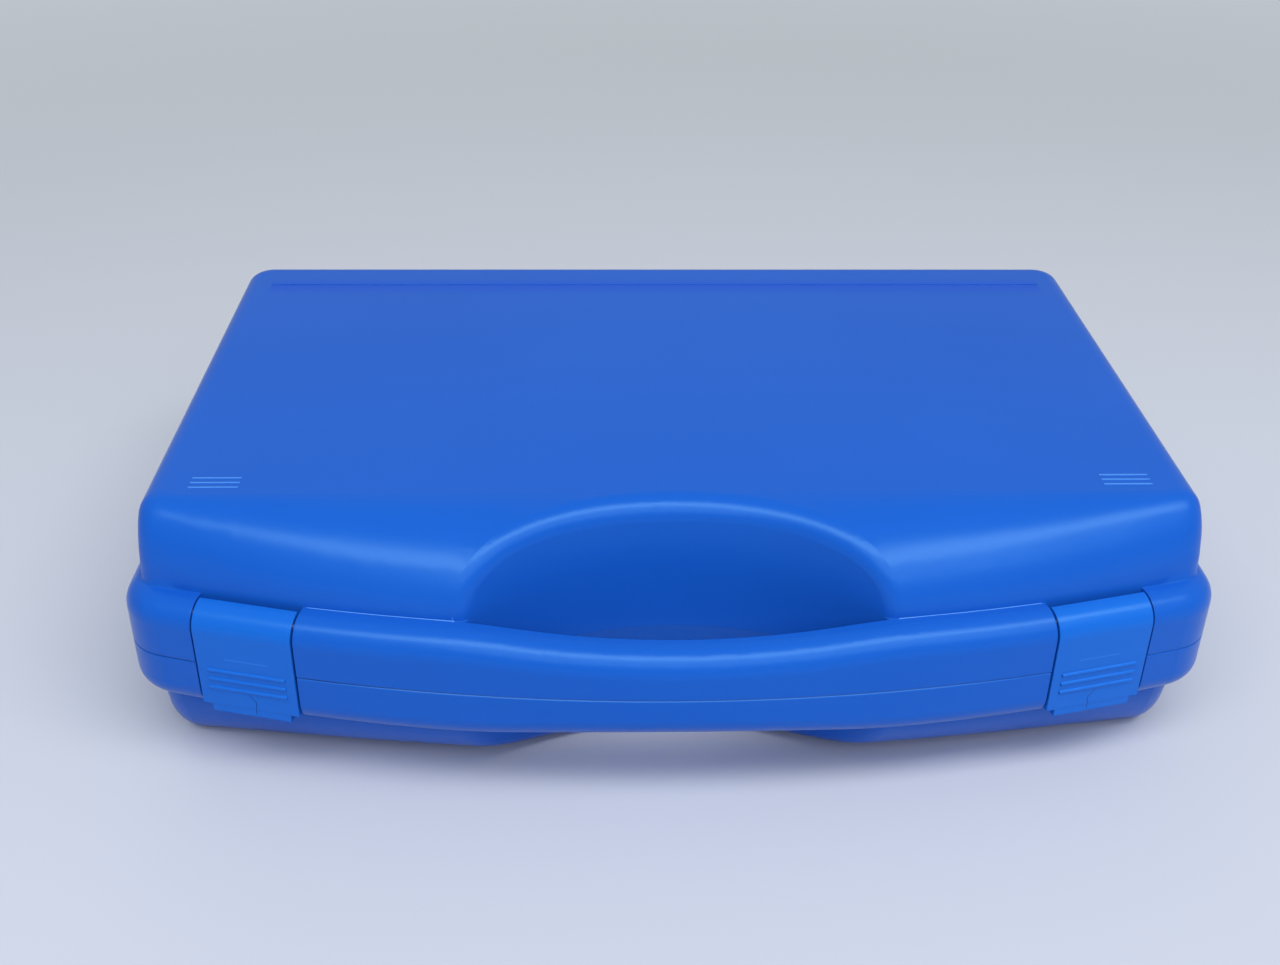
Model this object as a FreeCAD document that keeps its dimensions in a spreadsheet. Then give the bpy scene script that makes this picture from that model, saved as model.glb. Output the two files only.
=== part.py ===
import FreeCAD, Part
import Sketcher
import math
import os

from FreeCAD import Placement, Rotation, Vector

# Hard tool case, closed: handle at -Y, hinges at +Y, base at the bottom.
# The origin is on the floor, under the middle of the overall box. Millimetres.

doc = FreeCAD.newDocument("HardToolCase")

# Driving dimensions
SIZES = [
    # both shells
    ("shell_height", 46.0, "height of one shell, parting plane to its flat face"),
    ("body_width", 344.0, "width of the box at the parting plane, without the band"),
    ("body_depth", 225.0, "front wall to rear wall at the middle, at the parting plane"),
    ("front_bow", 26.3, "how far the bowed front wall falls back at the sides"),
    ("wall", 3.0, "wall thickness"),
    ("inner_chamfer", 4.0, "chamfer of the cavity's edges and front corners"),
    ("cavity_steps", 6, "flats that make up the cavity's shoulder"),
    ("draft", 1.8, "draft of the upright walls, degrees"),
    ("rear_corner", 10.5, "radius of the two rear corners, seen from above"),
    ("lid_round", 6.5, "rounding of the lid's top edges and front corners"),
    ("base_round", 10.0, "rounding of the base's bottom edges and front corners"),
    ("shoulder_foot", 20.0, "height above the parting plane where the shoulder starts"),
    ("shoulder_run", 38.0, "depth of the front shoulder, front to back"),
    # band round the parting plane
    ("lid_band_height", 20.0, "height of the band on the lid"),
    ("base_band_height", 19.0, "height of the band on the base"),
    ("band_front", 10.2, "how far the band stands out at the front"),
    ("band_side", 5.2, "how far it stands out at the sides"),
    ("band_rear", 3.0, "how far it stands out at the rear"),
    ("band_bow", 27.1, "how far the band's bowed front face falls back at the box's sides"),
    ("band_front_corner", 18.0, "radius of the band's front corners"),
    ("band_rear_corner", 15.0, "radius of the band's rear corners"),
    ("band_round", 8.0, "rounding of the band's edge"),
    ("band_joint", 0.15, "half of the open line between the two bands"),
    ("band_chamfer", 0.45, "chamfer of the base's band along that line"),
    ("lid_dip", 4.25, "how much lower the lid's band is at the middle of the handle"),
    ("base_dip", 2.4, "how much lower the base's band is at the middle of the handle"),
    ("dip_reach", 78.0, "half the length of the dip"),
    ("dip_share", 0.667, "share of that length that is hollow; the rest is the round end"),
    ("channel_roof", 5.5, "roof of the hollow band below the band's edge"),
    ("channel_rib", 1.6, "thickness of the ribs inside the hollow band"),
    ("rib_pitch", 26.0, "distance between those ribs"),
    ("rib_setback", 1.5, "ribs end this far short of the parting plane"),
    # hand opening
    ("recess_radius", 97.0, "radius of the scooped recess at the parting plane"),
    ("recess_gap", 28.7, "hand opening at the middle, handle to recess wall"),
    ("recess_lean", 4.0, "lean of the recess wall, degrees"),
    ("recess_round", 7.5, "rounding where the recess meets the shoulder"),
    ("handle_thickness", 10.4, "thickness of the handle at its middle"),
    ("handle_radius", 480.0, "bow of the handle's rear face"),
    # rim between the shells
    ("lip_thickness", 1.2, "lip's outer face from the inner face of the wall"),
    ("lip_step", 0.5, "lip's inner face from the inner face of the wall"),
    ("lip_height", 3.0, "how deep the lip reaches into the base"),
    ("lip_gap", 0.4, "clearance round the lip"),
    # latches
    ("latch_inset", 36.0, "middle of each latch in from the side of the box"),
    ("latch_width", 33.0, "width of a latch"),
    ("latch_gap", 0.7, "open line at each side of a latch"),
    ("latch_drop", 15.8, "latch plate below the parting plane"),
    ("latch_plate", 2.4, "thickness of the latch plate"),
    ("latch_pin_radius", 1.25, "latch pin radius"),
    ("latch_pin_depth", 4.7, "latch pin behind the band's face"),
    ("latch_pin_height", 16.5, "latch pin above the parting plane"),
    ("latch_barrel", 2.4, "radius of the latch barrel round its pin"),
    ("cheek", 4.0, "solid cheek beside each latch slot"),
    ("pin_seat", 3.2, "how deep a latch pin sits in each cheek"),
    ("running_gap", 0.05, "radial clearance of a pin in its bore"),
    ("nose_width", 22.0, "width of the latch nose"),
    ("nose_height", 3.0, "height of the latch nose"),
    ("nose_place", 12.5, "top of the nose below the parting plane"),
    ("nose_reach", 2.6, "how far the nose stands in from the plate"),
    ("catch_height", 2.6, "height of the base's catch ledge"),
    ("catch_gap", 0.4, "clearance between nose and catch ledge"),
    ("grip_length", 26.5, "length of the grip ribs"),
    ("grip_radius", 0.7, "radius of a grip rib's rounded back"),
    ("grip_proud", 0.6, "how far a grip rib stands out"),
    ("grip_first", 1.9, "middle of the first grip rib below the parting plane"),
    ("grip_pitch", 3.4, "distance between grip ribs"),
    ("grip_count", 3, "number of grip ribs"),
    ("tongue_drop", 2.8, "tongue below the latch plate"),
    ("tongue_inset", 3.0, "tongue narrower than the plate, each side"),
    ("tongue_setback", 0.1, "tongue behind the latch face"),
    # hinges
    ("hinge_inset", 80.0, "middle of each hinge in from the side of the box"),
    ("knuckle_count", 3, "number of knuckles of one hinge"),
    ("knuckle_length", 18.6, "length of one hinge knuckle"),
    ("knuckle_gap", 0.4, "gap between knuckles"),
    ("knuckle_radius", 5.0, "knuckle radius"),
    ("knuckle_clearance", 0.4, "clearance round the other shell's knuckles"),
    ("hinge_setback", 6.5, "hinge axis behind the rear wall"),
    ("hinge_pin_radius", 1.5, "hinge pin radius"),
    ("lid_opening", 105.0, "how far the lid opens, degrees"),
    ("foot_inset", 32.0, "middle of each rear foot in from the side of the box"),
    ("foot_width", 24.0, "width of a rear foot"),
    ("foot_height", 30.0, "height of a rear foot above the parting plane"),
    ("foot_gap", 0.8, "gap between the feet when the lid is fully open, degrees"),
    # marks on the lid
    ("mark_count", 3, "number of small ribs at each front corner"),
    ("mark_length", 16.0, "length of the small corner ribs"),
    ("mark_radius", 0.5, "radius of a corner rib's rounded back"),
    ("mark_pitch", 2.9, "distance between corner ribs"),
    ("mark_proud", 0.3, "height of a corner rib"),
    ("mark_side", 15.0, "corner ribs in from the side edge"),
    ("mark_front", 4.1, "first corner rib behind the shoulder"),
    ("crease_place", 23.0, "crease in front of the rear wall"),
    ("crease_width", 0.9, "width of the crease"),
    ("crease_depth", 0.4, "depth of the crease"),
    ("crease_end", 12.0, "crease stops this far from the side edges"),
    # foam
    ("foam_gap", 0.5, "clearance round the foam"),
    ("base_foam_height", 12.0, "foam sheet in the base"),
    ("lid_foam_height", 26.0, "foam sheet in the lid"),
    ("foam_inset", 6.0, "foam in from the inner faces of the walls"),
    ("foam_front", 9.0, "foam behind the front edge of the flat face"),
    ("foam_corner", 14.0, "corner radius of the foam"),
    # working values
    ("overrun", 4.0, "how far a cutting form runs past what it cuts"),
]

sheet = doc.addObject("Spreadsheet::Sheet", "sizes")
for row, (alias, value, meaning) in enumerate(SIZES, start=1):
    sheet.set(f"A{row}", meaning)
    sheet.set(f"B{row}", str(value))
    sheet.setAlias(f"B{row}", alias)
doc.recompute()


def size(alias):
    return float(sheet.get(alias))


# Places that follow from the sizes, seen from above
half_width = size("body_width") / 2
depth = size("band_front") + size("body_depth") + size("hinge_setback") + size("knuckle_radius")
band_y = -depth / 2
front_y = band_y + size("band_front")
rear_y = front_y + size("body_depth")
top_y = front_y + size("shoulder_run")
axis_y = rear_y + size("hinge_setback")
height = size("shell_height")
wall = size("wall")
overrun = size("overrun")
slope = math.tan(math.radians(size("draft")))
latch_x = half_width - size("latch_inset")
hinge_x = half_width - size("hinge_inset")
foot_x = half_width - size("foot_inset")


def bow_radius(fall):
    """Radius of an arc that falls back by that much at the sides of the box."""
    return (half_width**2 + fall**2) / (2 * fall)


front_radius = bow_radius(size("front_bow"))
band_radius = bow_radius(size("band_bow"))

# Circles of the hand opening
recess_y = front_y - size("band_front") + size("handle_thickness") + size("recess_gap") - size("recess_radius")
recess_slope = math.tan(math.radians(size("recess_lean")))
handle_y = band_y + size("handle_thickness") + size("handle_radius")


def bow(x, radius):
    """How far a front face of that radius falls back at x."""
    return radius - math.sqrt(radius**2 - x**2)


# Document helpers
def keep(name, shape):
    """Puts a shape into the document as a feature of its own."""
    feature = doc.addObject("Part::Feature", name)
    feature.Shape = shape
    return feature


def block(x_low, x_high, y_low, y_high, z_low, z_high):
    corner = Vector(x_low, y_low, z_low)
    return Part.makeBox(x_high - x_low, y_high - y_low, z_high - z_low, corner)


def rod(radius, length, start, direction=Vector(1, 0, 0)):
    return Part.makeCylinder(radius, length, start, direction)


# Shell body, in half coordinates: the parting plane is z = 0 and the flat face is up
SECTION_SHARES = (-1, -0.5, 0, 0.5, 1)


def body_section(x, inset, back, low, steps):
    """Outline of the body at x: front wall, quarter ellipse of the shoulder, flat face, rear wall.
    The front wall is moved back by back. With steps, the ellipse is that many short lines."""
    foot = size("shoulder_foot")
    top = height - inset

    def front(z):
        return front_y + inset + back + bow(x, front_radius) + slope * z

    toe = Vector(x, front(low), low)
    start = Vector(x, front(foot), foot)
    crest = Vector(x, top_y, top)
    back = Vector(x, rear_y, top)
    heel = Vector(x, rear_y, low)
    centre = Vector(x, top_y, foot)
    if steps:
        shoulder = []
        for step in range(1, steps):
            angle = math.pi / 2 * step / steps
            y = centre.y - (top_y - start.y) * math.cos(angle)
            shoulder.append(Vector(x, y, foot + (top - foot) * math.sin(angle)))
        points = [toe, start] + shoulder + [crest, back, heel]
        return Part.makePolygon(points + points[:1])
    level = Vector(x, start.y, foot)
    if top_y - start.y > top - foot:
        curve = Part.Ellipse(level, crest, centre)
    else:
        curve = Part.Ellipse(crest, level, centre)
    ends = sorted((curve.parameter(start), curve.parameter(crest)))
    if ends[1] - ends[0] > math.pi:
        ends = [ends[1], ends[0] + 2 * math.pi]
    shoulder = Part.ArcOfEllipse(curve, ends[0], ends[1]).toShape()
    lines = [(toe, start), (crest, back), (back, heel), (heel, toe)]
    edges = [shoulder] + [Part.makeLine(*line) for line in lines]
    return Part.Wire(Part.__sortEdges__(edges))


def prism(points, along):
    """Solid with a straight-sided outline, drawn out along a vector."""
    return Part.Face(Part.makePolygon(points + points[:1])).extrude(along)


def box_form(inset, low, chamfer):
    """The body's drafted sides, rear wall and flat face, before the shoulder is cut."""
    reach = half_width + overrun
    under = low - overrun
    top = height - inset
    edge = half_width - inset
    back = rear_y - inset
    side = top - chamfer
    front_view = [
        Vector(-edge + slope * low, band_y, low),
        Vector(edge - slope * low, band_y, low),
        Vector(edge - slope * side, band_y, side),
        Vector(edge - slope * side - chamfer, band_y, top),
        Vector(-edge + slope * side + chamfer, band_y, top),
        Vector(-edge + slope * side, band_y, side),
    ]
    side_view = [
        Vector(-reach, band_y, under),
        Vector(-reach, back - slope * under, under),
        Vector(-reach, back - slope * side, side),
        Vector(-reach, back - slope * side - chamfer, top),
        Vector(-reach, band_y, top),
    ]
    if not chamfer:
        del front_view[2], front_view[-1]
        del side_view[2]
    return prism(front_view, Vector(0, depth, 0)).common(prism(side_view, Vector(2 * reach, 0, 0)))


def body_form(inset, low, rounding):
    """The body as a solid, every face moved in by inset, from z = low up.
    The cavity, which has an inset, gets chamfers in place of the rounding."""
    reach = half_width + overrun
    under = low - overrun
    chamfer = size("inner_chamfer") if inset else 0
    if inset:
        edge = half_width - inset
        places = [(edge, chamfer), (edge - chamfer, 0), (half_width / 2, 0)]
        places = [(-x, back) for x, back in places] + [(0, 0)] + places[::-1]
        sections = [body_section(x, inset, back, under, int(size("cavity_steps"))) for x, back in places]
    else:
        sections = [body_section(reach * share, 0, 0, under, 0) for share in SECTION_SHARES]
    shoulder = Part.makeLoft(sections, True, bool(inset))
    front_room = block(-reach, reach, band_y, top_y, under, height + overrun).cut(shoulder)
    solid = box_form(inset, low, chamfer).cut(front_room)

    rear_edges = [e for e in solid.Edges if e.BoundBox.ZLength > height / 2 and e.BoundBox.YMin > 0]
    solid = solid.makeFillet(size("rear_corner") - inset, rear_edges)
    if inset:
        return solid
    around = []
    for edge in solid.Edges:
        box = edge.BoundBox
        front_corner = box.YMax < 0 and box.XLength < wall and box.ZLength > rounding
        if front_corner or (box.ZMin > height - slope and box.YMax > 0):
            around.append(edge)
    return solid.makeFillet(rounding, around)


def plan(front, radius, half, rear, low, high, front_corner, rear_corner):
    """Upright solid with a bowed front: the band, and the rings of the rim."""
    left = Vector(-half, front + bow(half, radius), low)
    right = Vector(half, front + bow(half, radius), low)
    middle = Vector(0, front, low)
    rear_right = Vector(half, rear, low)
    rear_left = Vector(-half, rear, low)
    edges = [
        Part.Arc(left, middle, right).toShape(),
        Part.makeLine(right, rear_right),
        Part.makeLine(rear_right, rear_left),
        Part.makeLine(rear_left, left),
    ]
    solid = Part.Face(Part.Wire(edges)).extrude(Vector(0, 0, high - low))
    upright = [e for e in solid.Edges if e.BoundBox.ZLength > (high - low) / 2]
    fronts = [e for e in upright if e.BoundBox.YMax < 0]
    solid = solid.makeFillet(front_corner, fronts)
    upright = [e for e in solid.Edges if e.BoundBox.ZLength > (high - low) / 2]
    rears = [e for e in upright if e.BoundBox.YMin > rear - rear_corner]
    return solid.makeFillet(rear_corner, rears)


def rim_ring(outer_inset, inner_inset, low, high):
    """Upright ring that follows the body's wall."""
    forms = []
    for inset, more in ((outer_inset, 0), (inner_inset, overrun)):
        forms.append(
            plan(
                front_y + inset,
                front_radius,
                half_width - inset,
                rear_y - inset,
                low - more,
                high + more,
                size("base_round") - inset,
                size("rear_corner") - inset,
            )
        )
    return forms[0].cut(forms[1])


def dip_cutter(kind, drop):
    """Everything above the band's top line, which dips at the handle; drop lowers the line."""
    dip = size(kind + "_dip")
    top = size(kind + "_band_height") - drop
    bottom = top - dip
    reach = size("dip_reach")
    turn = (reach**2 + dip**2) / (2 * dip)
    hollow_radius = turn * size("dip_share")
    end_radius = turn - hollow_radius
    meet = reach * size("dip_share")
    meet_z = bottom + bow(meet, hollow_radius)
    half_meet = (reach + meet) / 2
    half_z = top - bow(reach - half_meet, end_radius)
    roof = top + height
    y = band_y - overrun

    def at(x, z):
        return Vector(x, y, z)

    edges = [
        Part.Arc(at(-reach, top), at(-half_meet, half_z), at(-meet, meet_z)).toShape(),
        Part.Arc(at(-meet, meet_z), at(0, bottom), at(meet, meet_z)).toShape(),
        Part.Arc(at(meet, meet_z), at(half_meet, half_z), at(reach, top)).toShape(),
        Part.makeLine(at(reach, top), at(reach, roof)),
        Part.makeLine(at(reach, roof), at(-reach, roof)),
        Part.makeLine(at(-reach, roof), at(-reach, top)),
    ]
    return Part.Face(Part.Wire(edges)).extrude(Vector(0, depth / 2, 0))


def band_slab(kind, inset, roof, low):
    """The band as a full slab with sharp edges, in by inset all round and lowered by roof."""
    slab = plan(
        band_y + inset,
        band_radius,
        half_width + size("band_side") - inset,
        rear_y + size("band_rear") - inset,
        low,
        size(kind + "_band_height") - roof,
        size("band_front_corner") - inset,
        size("band_rear_corner") - inset,
    )
    return slab.cut(dip_cutter(kind, roof))


def band_form(kind):
    """The band with its rounded edge, and on the base a chamfer along the open line."""
    slab = band_slab(kind, 0, 0, size("band_joint"))
    if kind == "base":
        along_line = [e for e in slab.Edges if e.BoundBox.ZMax < size("band_joint") + slope]
        slab = slab.makeChamfer(size("band_chamfer"), along_line)
    lowest = size(kind + "_band_height") - size(kind + "_dip") - slope
    crest = [e for e in slab.Edges if e.BoundBox.ZMin > lowest and e.BoundBox.YMax < top_y]
    sides = [e for e in slab.Edges if e.BoundBox.ZMin > lowest and e.BoundBox.YMin > 0]
    return slab.makeFillet(size("band_round"), crest[:1] + sides[:1])


def recess_form(grow):
    """Cone of the scooped recess, grown by the wall for the inside."""
    low = -4 * overrun
    high = height + overrun
    radius = size("recess_radius") + grow
    return Part.makeCone(
        radius + low * recess_slope,
        radius + high * recess_slope,
        high - low,
        Vector(0, recess_y, low),
    )


def on_recess(edge):
    """True for an edge that lies on the recess wall from end to end."""
    middle = edge.valueAt((edge.FirstParameter + edge.LastParameter) / 2)
    for point in [middle] + [vertex.Point for vertex in edge.Vertexes]:
        reach = math.hypot(point.x, point.y - recess_y)
        if abs(reach - size("recess_radius") - point.z * recess_slope) > size("running_gap"):
            return False
    return True


def hand_form(grow):
    """The hand opening between the handle and the recess wall."""
    disc = Part.makeCylinder(
        size("handle_radius") + grow,
        height + 2 * overrun,
        Vector(0, handle_y, -overrun),
    )
    return recess_form(grow).common(disc)


# Latch places
def latch_frame(side):
    """Middle of a latch on the band's face, at the parting plane of the half."""
    x = side * latch_x
    y = band_y + bow(latch_x, band_radius)
    turn = side * math.degrees(math.asin(latch_x / band_radius))
    return Placement(Vector(x, y, 0), Rotation(Vector(0, 0, 1), turn))


def in_latch_frame(shape, side):
    moved = shape.copy()
    moved.Placement = latch_frame(side).multiply(moved.Placement)
    return moved


def slot_block(side, grow):
    """Room of a latch in the band; grow adds the cheeks."""
    half = size("latch_width") / 2 + size("latch_gap") + grow
    slot = block(-half, half, -overrun, size("band_front") + wall, -overrun, height)
    return in_latch_frame(slot, side)


def channel_form(kind, body):
    """Hollow of the band in front of the body's wall, crossed by ribs."""
    hollow = band_slab(kind, wall, size("channel_roof"), -overrun)
    corner_y = front_y + bow(half_width, front_radius)
    hollow = hollow.common(block(-depth, depth, band_y, corner_y, -overrun, height))
    hollow = hollow.cut(body).cut(hand_form(wall))
    for side in (-1, 1):
        hollow = hollow.cut(slot_block(side, size("cheek")))
    reach = latch_x - size("latch_width") / 2 - size("cheek")
    count = int(reach / size("rib_pitch"))
    for step in range(-count, count + 1):
        x = step * size("rib_pitch")
        half = size("channel_rib") / 2
        hollow = hollow.cut(block(x - half, x + half, band_y, 0, size("rib_setback"), height))
    return hollow


# Hinges
knuckle_pitch = size("knuckle_length") + size("knuckle_gap")
hinge_length = size("knuckle_count") * knuckle_pitch - size("knuckle_gap")


def knuckle_places(kind):
    """Start of each knuckle along x, counted from the hinge's left end."""
    first = 0 if kind == "base" else 1
    return [number * knuckle_pitch for number in range(first, int(size("knuckle_count")), 2)]


def hinge_start(side):
    return side * hinge_x - hinge_length / 2


def foot_form(side):
    """Rear foot: its slanted face is what the other foot meets when the lid is fully open."""
    lean = math.radians(size("lid_opening") / 2 + size("foot_gap") / 2)
    reach = size("knuckle_radius")
    start = side * foot_x - size("foot_width") / 2
    inner_y = rear_y - wall / 2
    top = size("foot_height")
    outer_y = axis_y + reach
    heel = reach * math.tan(lean)
    points = [
        Vector(start, inner_y, size("band_joint")),
        Vector(start, axis_y, size("band_joint")),
        Vector(start, outer_y, heel + size("band_joint")),
        Vector(start, outer_y, top - reach),
        Vector(start, inner_y, top),
    ]
    foot = prism(points, Vector(size("foot_width"), 0, 0))
    uprights = [e for e in foot.Edges if e.BoundBox.YMin > axis_y and e.BoundBox.XLength < slope]
    return foot.makeFillet(size("knuckle_gap") * 2, uprights)


def foot_hollow(side):
    """Hollow of a foot, open to the inside of the shell."""
    half = size("foot_width") / 2 - wall
    x = side * foot_x
    low = size("knuckle_radius") * 2 + wall
    return block(x - half, x + half, rear_y - 2 * wall, axis_y + size("knuckle_radius") - wall, low,
                 size("foot_height") - size("knuckle_radius") - wall)


def shell_half(kind):
    """One shell in half coordinates, without what only the lid or the base has."""
    outer = body_form(0, 0, size(kind + "_round"))
    inner = body_form(wall, -overrun, 0)
    front = band_form(kind).cut(channel_form(kind, outer)).cut(hand_form(0))
    for side in (-1, 1):
        front = front.cut(slot_block(side, 0))
    scooped = outer.cut(recess_form(0))
    arch = [edge for edge in scooped.Edges if on_recess(edge) and edge.BoundBox.ZMin > size("knuckle_radius")]
    scooped = scooped.makeFillet(size("recess_round"), arch)
    return scooped.fuse(front).cut(inner.cut(recess_form(wall)))


def knuckles(kind):
    """Knuckles of one shell with their webs, in half coordinates."""
    solids = []
    for side in (-1, 1):
        for place in knuckle_places(kind):
            x = hinge_start(side) + place
            barrel = rod(size("knuckle_radius"), size("knuckle_length"), Vector(x, axis_y, 0))
            end = x + size("knuckle_length")
            web = block(x, end, rear_y - wall / 2, axis_y, 0, size("knuckle_radius"))
            solids += [barrel, web]
    return solids


def hinge_clearance():
    """Room round the hinge barrels, and the bores of their pins."""
    solids = []
    radius = size("knuckle_radius") + size("knuckle_clearance")
    for side in (-1, 1):
        start = hinge_start(side) - size("knuckle_gap")
        length = hinge_length + 2 * size("knuckle_gap")
        solids.append(rod(radius, length, Vector(start, axis_y, 0)))
    return solids


def hinge_bores():
    radius = size("hinge_pin_radius") + size("running_gap")
    length = hinge_length + 2 * overrun
    return [rod(radius, length, Vector(hinge_start(side) - overrun, axis_y, 0)) for side in (-1, 1)]


def lid_shell():
    """Lid in half coordinates: pin seats, lip, corner ribs and crease."""
    half = shell_half("lid").cut(hinge_clearance())
    added = knuckles("lid")
    added += [foot_form(side) for side in (-1, 1)]

    lip = rim_ring(wall - size("lip_thickness"), wall + size("lip_step"), -size("lip_height"),
                   size("lip_height"))
    around = size("recess_radius") + size("recess_gap")
    lip = lip.cut(Part.makeCylinder(around, height, Vector(0, recess_y, -height / 2)))
    added.append(lip)

    side_edge = half_width - slope * height
    for side in (-1, 1):
        for number in range(int(size("mark_count"))):
            x = side * (side_edge - size("mark_side") - size("mark_length") / 2)
            y = top_y + size("mark_front") + number * size("mark_pitch")
            start = Vector(x - size("mark_length") / 2, y, height + size("mark_proud") - size("mark_radius"))
            added.append(rod(size("mark_radius"), size("mark_length"), start))
    half = half.fuse(added)

    removed = hinge_bores() + [foot_hollow(side) for side in (-1, 1)]
    for side in (-1, 1):
        half_seat = size("latch_width") / 2 + size("latch_gap") + size("pin_seat")
        start = Vector(-half_seat, size("latch_pin_depth"), size("latch_pin_height"))
        seat = rod(size("latch_pin_radius") + size("running_gap"), 2 * half_seat, start)
        removed.append(in_latch_frame(seat, side))
    reach = side_edge - size("crease_end")
    crease_y = rear_y - size("crease_place")
    removed.append(block(-reach, reach, crease_y, crease_y + size("crease_width"),
                         height - size("crease_depth"), height + overrun))
    return half.cut(removed)


def base_shell():
    """Base in half coordinates: rabbet for the lip, and the catch ledges of the latches."""
    half = shell_half("base").cut(hinge_clearance())
    added = knuckles("base")
    added += [foot_form(side) for side in (-1, 1)]
    nose_tip = size("latch_plate") + size("nose_reach")
    half_catch = size("nose_width") / 2
    for side in (-1, 1):
        low = size("nose_place") - size("catch_height") - size("catch_gap")
        ledge = block(-half_catch, half_catch, nose_tip + size("catch_gap"),
                      size("band_front") + wall / 2, low, low + size("catch_height"))
        added.append(in_latch_frame(ledge, side))
    half = half.fuse(added)

    rabbet = size("lip_thickness") + size("lip_gap")
    depth_down = size("lip_height") + size("lip_gap")
    removed = hinge_bores() + [foot_hollow(side) for side in (-1, 1)]
    ring = rim_ring(wall - rabbet, wall + rabbet, -overrun, depth_down)
    around = size("recess_radius") + size("recess_gap") - size("lip_gap")
    removed.append(ring.cut(Part.makeCylinder(around, height, Vector(0, recess_y, -height / 2))))
    return half.cut(removed)


# Sketches for the latch
def total(words):
    """A sum of sizes, such as '- latch_drop - tongue_drop', as a number and as an expression."""
    value = 0.0
    sign = 1.0
    parts = words.split()
    for word in parts:
        if word in "+-":
            sign = 1.0 if word == "+" else -1.0
        else:
            value += sign * size(word)
    return value, " ".join(word if word in "+-" else "sizes." + word for word in parts)


def sketch_on(body, name):
    """A sketch on the body's side plane: sketch x runs inwards, sketch y runs up."""
    sketch = body.newObject("Sketcher::SketchObject", name)
    side_plane = [f for f in body.Origin.OriginFeatures if f.Role == "YZ_Plane"][0]
    sketch.AttachmentSupport = [(side_plane, "")]
    sketch.MapMode = "FlatFace"
    return sketch


def bind(sketch, kind, geometry, words):
    """A dimension that follows the sheet; kind is Radius, or DistanceX or DistanceY of a start point."""
    value, expression = total(words)
    if kind == "Radius":
        number = sketch.addConstraint(Sketcher.Constraint(kind, geometry, value))
    else:
        point = 3 if sketch.Geometry[geometry].TypeId == "Part::GeomCircle" else 1
        number = sketch.addConstraint(Sketcher.Constraint(kind, -1, 1, geometry, point, value))
    sketch.setExpression(f"Constraints[{number}]", expression)


def circle(sketch, inwards, up, radius):
    centre = Vector(total(inwards)[0], total(up)[0], 0)
    circle_number = sketch.addGeometry(Part.Circle(centre, Vector(0, 0, 1), total(radius)[0]), False)
    bind(sketch, "DistanceX", circle_number, inwards)
    bind(sketch, "DistanceY", circle_number, up)
    bind(sketch, "Radius", circle_number, radius)


def polygon(sketch, points):
    """Closed outline of straight lines, every corner bound to the sheet."""
    corners = [Vector(total(inwards)[0], total(up)[0], 0) for inwards, up in points]
    for start, end in zip(corners, corners[1:] + corners[:1]):
        sketch.addGeometry(Part.LineSegment(start, end), False)
    last = len(corners) - 1
    for number in range(len(corners)):
        before = last if number == 0 else number - 1
        sketch.addConstraint(Sketcher.Constraint("Coincident", before, 2, number, 1))
    for number, (inwards, up) in enumerate(points):
        bind(sketch, "DistanceX", number, inwards)
        bind(sketch, "DistanceY", number, up)


def plate_outline(sketch):
    """The latch plate from the side: an upright face that turns in over the pin."""
    turn, turn_words = total("band_round")
    top = size("lid_band_height")
    plate = size("latch_plate")
    drop = -size("latch_drop")
    centre = Vector(turn, top - turn, 0)
    up = Vector(0, 0, 1)
    quarter = (math.pi / 2, math.pi)
    pieces = [
        Part.LineSegment(Vector(0, drop, 0), Vector(0, top - turn, 0)),
        Part.ArcOfCircle(Part.Circle(centre, up, turn), *quarter),
        Part.LineSegment(Vector(turn, top, 0), Vector(turn, top - plate, 0)),
        Part.ArcOfCircle(Part.Circle(centre, up, turn - plate), *quarter),
        Part.LineSegment(Vector(plate, top - turn, 0), Vector(plate, drop, 0)),
        Part.LineSegment(Vector(plate, drop, 0), Vector(0, drop, 0)),
    ]
    for piece in pieces:
        sketch.addGeometry(piece, False)
    for ends in ((0, 2, 1, 2), (1, 1, 2, 1), (2, 2, 3, 1), (3, 2, 4, 1), (4, 2, 5, 1), (5, 2, 0, 1)):
        sketch.addConstraint(Sketcher.Constraint("Coincident", *ends))
    sketch.addConstraint(Sketcher.Constraint("Coincident", 1, 3, 3, 3))
    for number, kind in ((0, "Vertical"), (2, "Vertical"), (4, "Vertical"), (5, "Horizontal")):
        sketch.addConstraint(Sketcher.Constraint(kind, number))
    for ends in ((1, 3, 0, 2), (1, 3, 4, 1)):
        sketch.addConstraint(Sketcher.Constraint("Horizontal", *ends))
    sketch.addConstraint(Sketcher.Constraint("PointOnObject", 0, 1, -2))
    bind(sketch, "DistanceY", 0, "- latch_drop")
    bind(sketch, "DistanceX", 4, "latch_plate")
    bind(sketch, "DistanceX", 2, "band_round")
    bind(sketch, "DistanceY", 2, "lid_band_height")
    number = sketch.addConstraint(Sketcher.Constraint("DistanceX", -1, 1, 1, 3, turn))
    sketch.setExpression(f"Constraints[{number}]", turn_words)


def pad(body, sketch, name, length):
    """Pads a side view to both sides, so the piece stays even about its middle."""
    feature = body.newObject("PartDesign::Pad", name)
    feature.Profile = sketch
    feature.Midplane = True
    feature.setExpression("Length", length)
    return feature


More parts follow.
